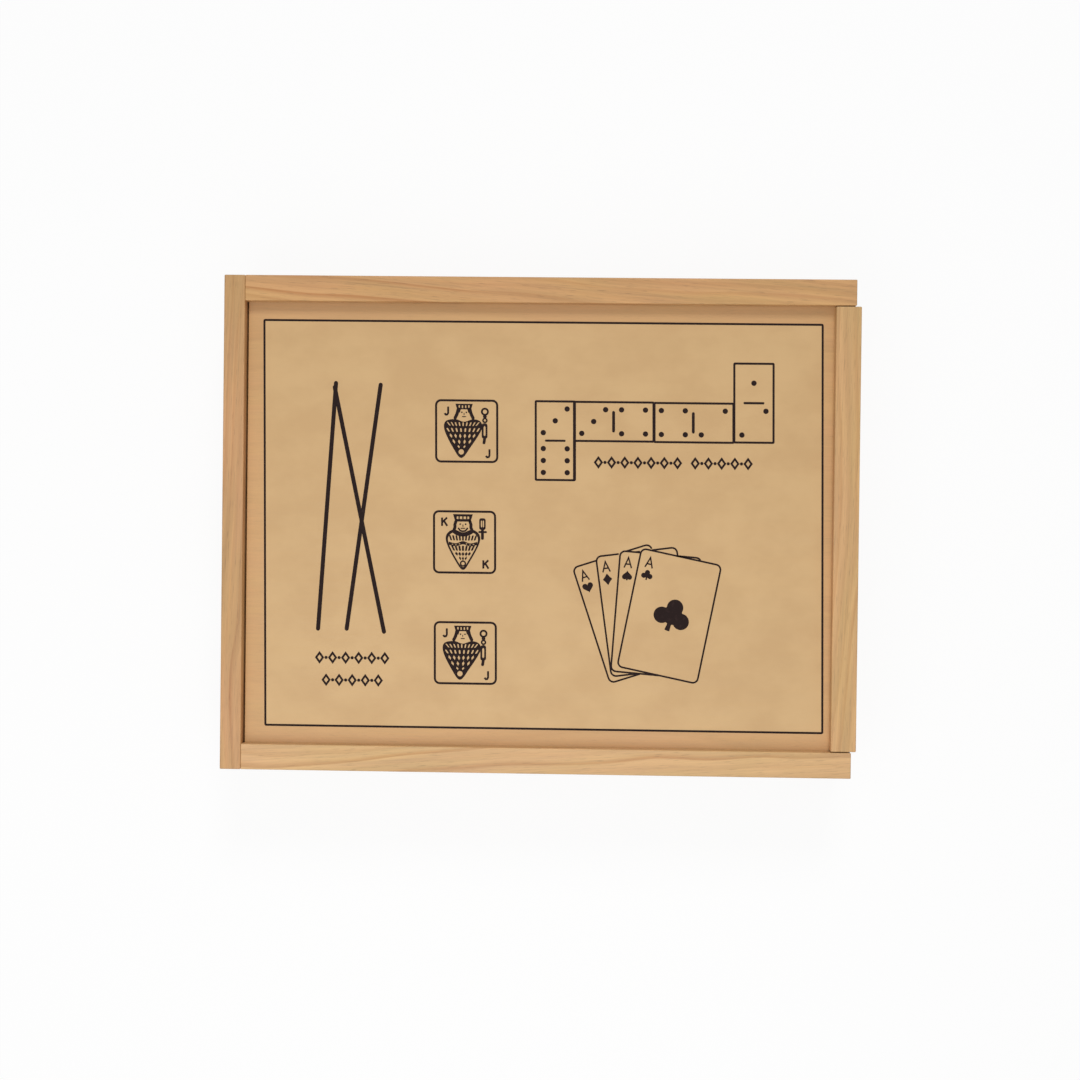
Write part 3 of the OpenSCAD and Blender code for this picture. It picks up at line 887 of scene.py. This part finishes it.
def printOnLid():
    ink = makeInk("printInk", srgb(28, 14, 12), 0.7)
    prints = dict(
        print_border=placed([outlineOf(lidPrint, "width", "height")], lidPrint["border"]),
        print_sticks=[stroke(ends, lidSticks["line"]) for ends in lidSticks["ends"]],
        print_tiles=tileShapes(), print_aces=aceShapes(), print_lozenges=lozengeShapes())
    for k, (place, mark) in enumerate(zip(lidDice["places"], lidDice["marks"])):
        face = [outlineOf(lidDice, "size", "size")] + dieFace(mark)
        prints["print_die_" + str(k + 1)] = placed(face, place)
    origin = (*lidPrint["centre"], boxMm("lid_panel")[1][2])
    for name, shapes in prints.items():
        bundle = newBundle()
        inkPrisms(bundle, shapes, origin, (1, 0, 0), (-lidPrint["lean"], 1, 0), lidPrint["thick"])
        makePiece(bundle, name, [ink], "lid")


printOnLid()
print("the lid is printed")

tile = dict(  # mm and radians
    corner=1.5, round=0.7, arcSteps=5, pitch=6.2, pip=1.3, depth=0.6, pipSides=20, pipTurn=0.11, lowest=0.12,
    ruleWide=0.9, ruleShare=0.74, footShare=0.5, footShort=0.4, pith=(30, -60, 45), endTone=0.86)


def tileRings(size):
    # The side's profile: a quarter round at the foot, the upright side and a quarter round at the top
    a = np.linspace(0, np.pi / 2, tile["arcSteps"])
    inset = np.concatenate([tile["round"] * (1 - np.sin(a)), tile["round"] * (1 - np.cos(a))])
    z = np.concatenate([tile["round"] * (1 - np.cos(a)), size[2] - tile["round"] * (1 - np.sin(a))])
    loops = [roundedRect(size[0] - 2 * i, size[1] - 2 * i, tile["corner"] - i) for i in inset]
    return [withHeight(loop, h) for loop, h in zip(loops, z)]


def bowl(centre, top, start):
    # Rings of a ball's cap, from the rim down to near its lowest point
    ball = (tile["pip"] ** 2 + tile["depth"] ** 2) / (2 * tile["depth"])
    reach = math.asin(tile["pip"] / ball)
    return [withHeight(circle(ball * math.sin(t), tile["pipSides"], centre, start),
                       top - tile["depth"] + ball * (1 - math.cos(t)))
            for t in np.linspace(reach, reach * tile["lowest"], tile["arcSteps"])]


def ruleLoop(length, width):
    return roundedRect(width, length, width / 2 - 0.01)


def makeTile(low, high, materials):
    name = "domino_%d_%d" % (low, high)
    corner, far = boxMm(name)
    size = far - corner
    place = low * 7 - low * (low - 1) // 2 + high - low  # its rank among the 28
    turned = -1 if (11 * place + 5) % 28 % 2 else 1  # every other slot holds its tile the other way round
    bundle = newBundle()
    rings = tileRings(size)
    addPart(bundle, np.vstack(rings), ringQuads(len(rings), len(rings[0]), top=False))
    loops, pits = [rings[-1][:, :2]], []
    for side, pips in ((-1, low), (1, high)):
        for spot in pipPlaces(pips, tile["pitch"]) + [side * size[0] / 4, 0]:
            start = tile["pipTurn"] * len(pits)  # no three points of a row of pips lie in line
            loops.append(circle(tile["pip"], tile["pipSides"], spot * turned, start))
            pits.append(bowl(spot * turned, size[2], start))
    ruleLong = size[1] * tile["ruleShare"]
    rule = ruleLoop(ruleLong, tile["ruleWide"])
    foot = ruleLoop(ruleLong - tile["footShort"], tile["ruleWide"] * tile["footShare"])
    loops.append(rule)
    pits.append([withHeight(rule, size[2]), withHeight(foot, size[2] - tile["depth"])])
    addPart(bundle, withHeight(np.vstack(loops), size[2]), fillLoops(loops).tolist())
    for pit in pits:
        addPart(bundle, np.vstack(pit), ringQuads(len(pit), len(pit[0]), foot=False), 1)
    points, bundle["faces"] = welded(np.vstack(bundle["points"]), bundle["faces"])
    bundle["points"] = [points + [(corner[0] + far[0]) / 2, (corner[1] + far[1]) / 2, corner[2]]]
    makePiece(bundle, "tile_%d_%d" % (low, high), materials, "box", [name])


def makeDominoes():
    wood = makeBoard("tileWood", "x", tile["pith"], woodLook("tile"), endTone=tile["endTone"])
    materials = [wood, makeInk("pipPaint", srgb(30, 24, 22), 0.4)]
    for low in range(7):
        for high in range(low, 7):
            makeTile(low, high, materials)


makeDominoes()
print("28 dominoes are made")

stick = dict(  # mm, as in the bay; wander is a share of the end play, its step in degrees
    length=180, across=3, point=9, tip=0.9, gap=0.4, slit=0.05, sidePlay=0.3, wander=0.8, wanderStep=97,
    wide=7, rows=7, total=41, spread=12, sides=14, pith=(10, -40, 30), bump=(0.3, 0.03))

bands = dict(  # how many sticks, and their painted rings as middle and width from the stick's end, in mm
    sticks_20_point=(1, "blue", [(20, 8), (36, 8), (52, 8), (90, 22), (128, 8), (144, 8), (160, 8)]),
    sticks_10_point=(5, "blue", [(18, 7), (30, 7), (150, 7), (162, 7)]),
    sticks_5_point=(5, "red", [(18, 7), (30, 7), (42, 7), (138, 7), (150, 7), (162, 7)]),
    sticks_3_point=(15, "red", [(22, 9), (158, 9)]),
    sticks_2_point=(15, "green", [(20, 9), (34, 5), (146, 5), (160, 9)]))

paints = dict(  # soft is half the width of a painted edge, in mm
    blue=srgb(34, 62, 128), red=srgb(176, 38, 34), green=srgb(42, 110, 62), soft=0.15, roughness=(0.5, 0.15))


def makeStickMaterial(name, paint, rings):
    material, tree, shader = newMaterial(name)
    grain = grainOf(tree, "x", stick["pith"], woodLook("birch"))
    along = addNode(tree, "Attribute", attribute_name="along").outputs["Fac"]
    painted = 0.0
    for middle, width in rings:
        edge = (width / 2 + paints["soft"], width / 2 - paints["soft"])
        ring = smoothRange(away(along, float(middle)), *edge)
        painted = calc("MAXIMUM", painted, ring)
    bare, less = paints["roughness"]
    plug(shader, {
        "Base Color": mixTones(painted, grain["Color"], paints[paint]),
        "Roughness": minus(bare, times(painted, less)),
        "Normal": bumpFrom(grain["Height"], *stick["bump"])})
    return material


def stickPlaces():
    # Rows of seven and six in turn, each lying in the hollows of the row below
    west, east = boxMm("west_wall")[1][0], boxMm("east_wall")[0][0]
    north, floor = boxMm("north_wall")[0][1], boxMm("base_panel")[1][2]
    pitch = stick["across"] + stick["gap"]
    rise = math.sqrt((stick["across"] + stick["slit"]) ** 2 - (pitch / 2) ** 2)
    slack = (east - west - stick["length"]) / 2
    i = np.arange(stick["total"])
    starts = np.array([row * stick["wide"] - row // 2 for row in range(stick["rows"])])
    row = np.searchsorted(starts, i, side="right") - 1
    across = i - starts[row] + (row % 2) / 2
    x = west + slack * (1 + stick["wander"] * np.sin(np.radians(stick["wanderStep"] * i)))
    y = north - stick["sidePlay"] - stick["across"] / 2 - across * pitch
    z = floor + stick["slit"] + stick["across"] / 2 + row * rise
    return np.stack([x, y, z], axis=1)


def makeSticks():
    # A turned profile: radius against length, with a blunt tip, a taper and a slightly eased shoulder
    length, radius, tip = stick["length"], stick["across"] / 2, stick["tip"] / 2
    half = np.array([(0, 0.02), (0, tip * 0.7), (tip * 0.35, tip), (stick["point"] * 0.5, (tip + radius) / 2),
                     (stick["point"] - 0.4, radius * 0.985), (stick["point"] + 0.6, radius)])
    profile = np.vstack([half, np.column_stack([length - half[::-1, 0], half[::-1, 1]])])
    rows, sides = len(profile), stick["sides"]
    a = np.arange(sides) * 2 * np.pi / sides
    ringX = np.repeat(profile[:, :1], sides, axis=1)
    points = np.stack([ringX, profile[:, 1:] * np.cos(a), profile[:, 1:] * np.sin(a)], axis=-1).reshape(-1, 3)
    faces = ringQuads(rows, sides)
    places = stickPlaces()
    rank = (stick["spread"] * np.arange(stick["total"])) % stick["total"]  # the classes lie mixed
    start = 0
    for name, (count, paint, rings) in bands.items():
        bundle = newBundle()
        mine = places[(rank >= start) & (rank < start + count)]
        for place in mine:
            addPart(bundle, points + place, faces)
        start += count
        material = makeStickMaterial("paint_" + name, paint, rings)
        piece = makePiece(bundle, "set_" + name, [material], "box", [name], smooth=True)
        along = piece.data.attributes.new("along", "FLOAT", "POINT")
        along.data.foreach_set("value", np.tile(points[:, 0], len(mine)).astype(np.float32))


makeSticks()
print("41 sticks are made")

card = dict(  # mm; from card to card the wander's sine and cosine step on by so many degrees
    length=88, width=63, thick=0.29, slit=0.01, corner=3.5, eased=0.05, arcSteps=7, play=3,
    wanderSteps=(53, 71),
    packs=dict(cards_clubs=13, cards_diamonds=13, cards_hearts=13, cards_spades=13, cards_jokers=2))

cardBack = dict(  # mm, and the lattice's line as shares of its step
    paper=srgb(236, 232, 222), print=srgb(150, 34, 40), margin=4.5, step=3.0, line=(0.40, 0.44),
    soft=0.05, rule=1.2, ruleEdge=(0.30, 0.24), roughness=0.34)

# the grey of the pack's edge is painted shade in the seams between the cards, over the paper's own light
# colour; the noise scale per metre keeps the painted seams fine up the pack
cardEdge = dict(dark=srgb(212, 204, 190), light=srgb(244, 240, 230), paintedSeamShade=(60, 60, 4200), roughness=0.6)


def makeCardBack(centre):  # a lattice of lozenges inside a plain margin, on faces that look up
    material, tree, shader = newMaterial("cardBack")
    x, y = split(mapped(objectPlace(tree), (-centre[0] * mm, -centre[1] * mm, 0)))[:2]
    pastX, pastY = (
        minus(calc("ABSOLUTE", off), (side / 2 - cardBack["margin"]) * mm)
        for off, side in ((x, card["length"]), (y, card["width"])))
    past = calc("MAXIMUM", pastX, pastY)

    def weave(sign):  # distance from the nearest line of one diagonal set
        total = plus(x, times(y, sign))
        return away(calc("FRACT", calc("DIVIDE", total, cardBack["step"] * mm)), 0.5)
    lattice = smoothRange(calc("MAXIMUM", weave(1.0), weave(-1.0)), *cardBack["line"])
    inside = smoothRange(past, 0.0, -cardBack["soft"] * mm)
    fromRule = calc("ABSOLUTE", plus(past, cardBack["rule"] * mm))
    rule = smoothRange(fromRule, *[c * mm for c in cardBack["ruleEdge"]])
    bare = minus(1.0, calc("MAXIMUM", lattice, rule))
    inked = times(inside, bare)
    plug(shader, {
        "Base Color": mixTones(inked, cardBack["paper"], cardBack["print"]),
        "Roughness": cardBack["roughness"]})
    return material


def makeCardStock():  # the cut edges of the pack, with painted shade a little grey between one card and the next
    material, tree, shader = newMaterial("cardStock")
    paintedSeamShade = noise(stretch(objectPlace(tree), cardEdge["paintedSeamShade"]), 2.0)
    plug(shader, {
        "Base Color": mixTones(paintedSeamShade, cardEdge["dark"], cardEdge["light"]),
        "Roughness": cardEdge["roughness"]})
    return material


def makeCards():
    west, floor = boxMm("west_wall")[1][0], boxMm("base_panel")[1][2]
    south, north = boxMm("short_divider")[1][1], boxMm("long_divider")[0][1]
    bay = (boxMm("cross_divider")[0][0] - west, north - south)
    i = np.arange(sum(card["packs"].values()))
    wander, (stepX, stepY) = card["play"] / 5, card["wanderSteps"]
    x = west + bay[0] / 2 + wander * np.sin(np.radians(stepX * i))
    y = north - bay[1] / 2 + wander * np.cos(np.radians(stepY * i))
    z = floor + card["slit"] + i * (card["thick"] + card["slit"])
    eased, steps = card["eased"], card["arcSteps"]
    loop = roundedRect(card["length"], card["width"], card["corner"], steps)
    inset = roundedRect(card["length"] - 2 * eased, card["width"] - 2 * eased, card["corner"] - eased, steps)
    rings = [withHeight(inset, 0), withHeight(loop, eased), withHeight(loop, card["thick"] - eased),
             withHeight(inset, card["thick"])]
    faces = ringQuads(len(rings), len(loop))
    materials = [makeCardStock(), makeCardBack((x[-1], y[-1]))]
    start = 0
    for name, many in card["packs"].items():
        bundle = newBundle()
        for k in range(start, start + many):
            addPart(bundle, np.vstack(rings) + [x[k], y[k], z[k]], faces)
            bundle["slots"][-1] = 1  # the face that looks up
        start += many
        makePiece(bundle, "pack_" + name, materials, "box", [name])


makeCards()
print("54 cards are made")

dice = dict(  # mm and degrees
    round=2.3, steps=6, ink=0.05, faceShare=0.62, turn=14, turnStep=137, marks="AKQJTN", tops="KJATN")

resin = dict(
    light=srgb(238, 230, 208), dark=srgb(226, 214, 186), clouds=120.0, roughness=(0.1, 0.24),
    subsurface=0.08, radius=(0.002, 0.0015, 0.001))


def makeResin():
    material, tree, shader = newMaterial("diceResin")
    cloud = noise(objectPlace(tree), 3.0, scale=resin["clouds"])
    share, base = resin["roughness"]
    plug(shader, {
        "Base Color": mixTones(cloud, resin["light"], resin["dark"]),
        "Roughness": plus(times(cloud, share), base),
        "Subsurface Weight": resin["subsurface"], "Subsurface Radius": resin["radius"]})
    return material


def roundedCube(size):
    # Six grids over a cube, with each point held inside a smaller cube and pushed out from it by the
    # corner radius; past the flat the lines stand at even angles up to the edge
    flat = size / 2 - dice["round"]
    past = flat + dice["round"] * np.tan(np.linspace(0, np.pi / 4, dice["steps"] + 1))
    line = np.concatenate([-past[::-1], past])
    u, v = np.meshgrid(line, line)
    w = np.full_like(u, size / 2)
    quads = np.array(gridQuads(len(line), len(line), wrapColumns=False))
    sides, faces = [], []
    for k in range(3):
        for sign in (1, -1):
            faces.append((quads if sign > 0 else quads[:, ::-1]) + len(sides) * u.size)
            sides.append(np.stack(np.roll([u, v, w * sign], k, axis=0), axis=-1).reshape(-1, 3))
    cube = np.vstack(sides)
    core = np.clip(cube, -flat, flat)
    off = cube - core
    return welded(core + off / np.linalg.norm(off, axis=1, keepdims=True) * dice["round"], np.vstack(faces))


dieSides = [  # right and up of each face, the top first
    ((1, 0, 0), (0, 1, 0)), ((0, 1, 0), (0, 0, 1)), ((-1, 0, 0), (0, 0, 1)),
    ((0, -1, 0), (0, 0, 1)), ((1, 0, 0), (0, 0, 1)), ((-1, 0, 0), (0, 1, 0))]


def makeDice():
    materials = [makeResin(), makeInk("dieInk", srgb(40, 28, 26), 0.42)]
    for k, top in enumerate(dice["tops"]):
        name = "die_%d" % (k + 1)
        low, high = boxMm(name)
        size = high[2] - low[2]
        angle = dice["turn"] * math.sin(math.radians(dice["turnStep"] * (k + 1)))
        bundle = newBundle()
        addPart(bundle, *roundedCube(size))
        first = dice["marks"].index(top)
        for mark, (right, up) in zip(dice["marks"][first:] + dice["marks"][:first], dieSides):
            face = placed(dieFace(mark), scale=dice["faceShare"])
            inkPrisms(bundle, face, np.cross(right, up) * size / 2, right, up, dice["ink"], 1)
        points = np.vstack(bundle["points"])
        points[:, :2] = points[:, :2] @ turning(angle)
        bundle["points"] = [points + (low + high) / 2]
        makePiece(bundle, "poker_" + name, materials, "box", [name])


makeDice()
print("5 dice are made")
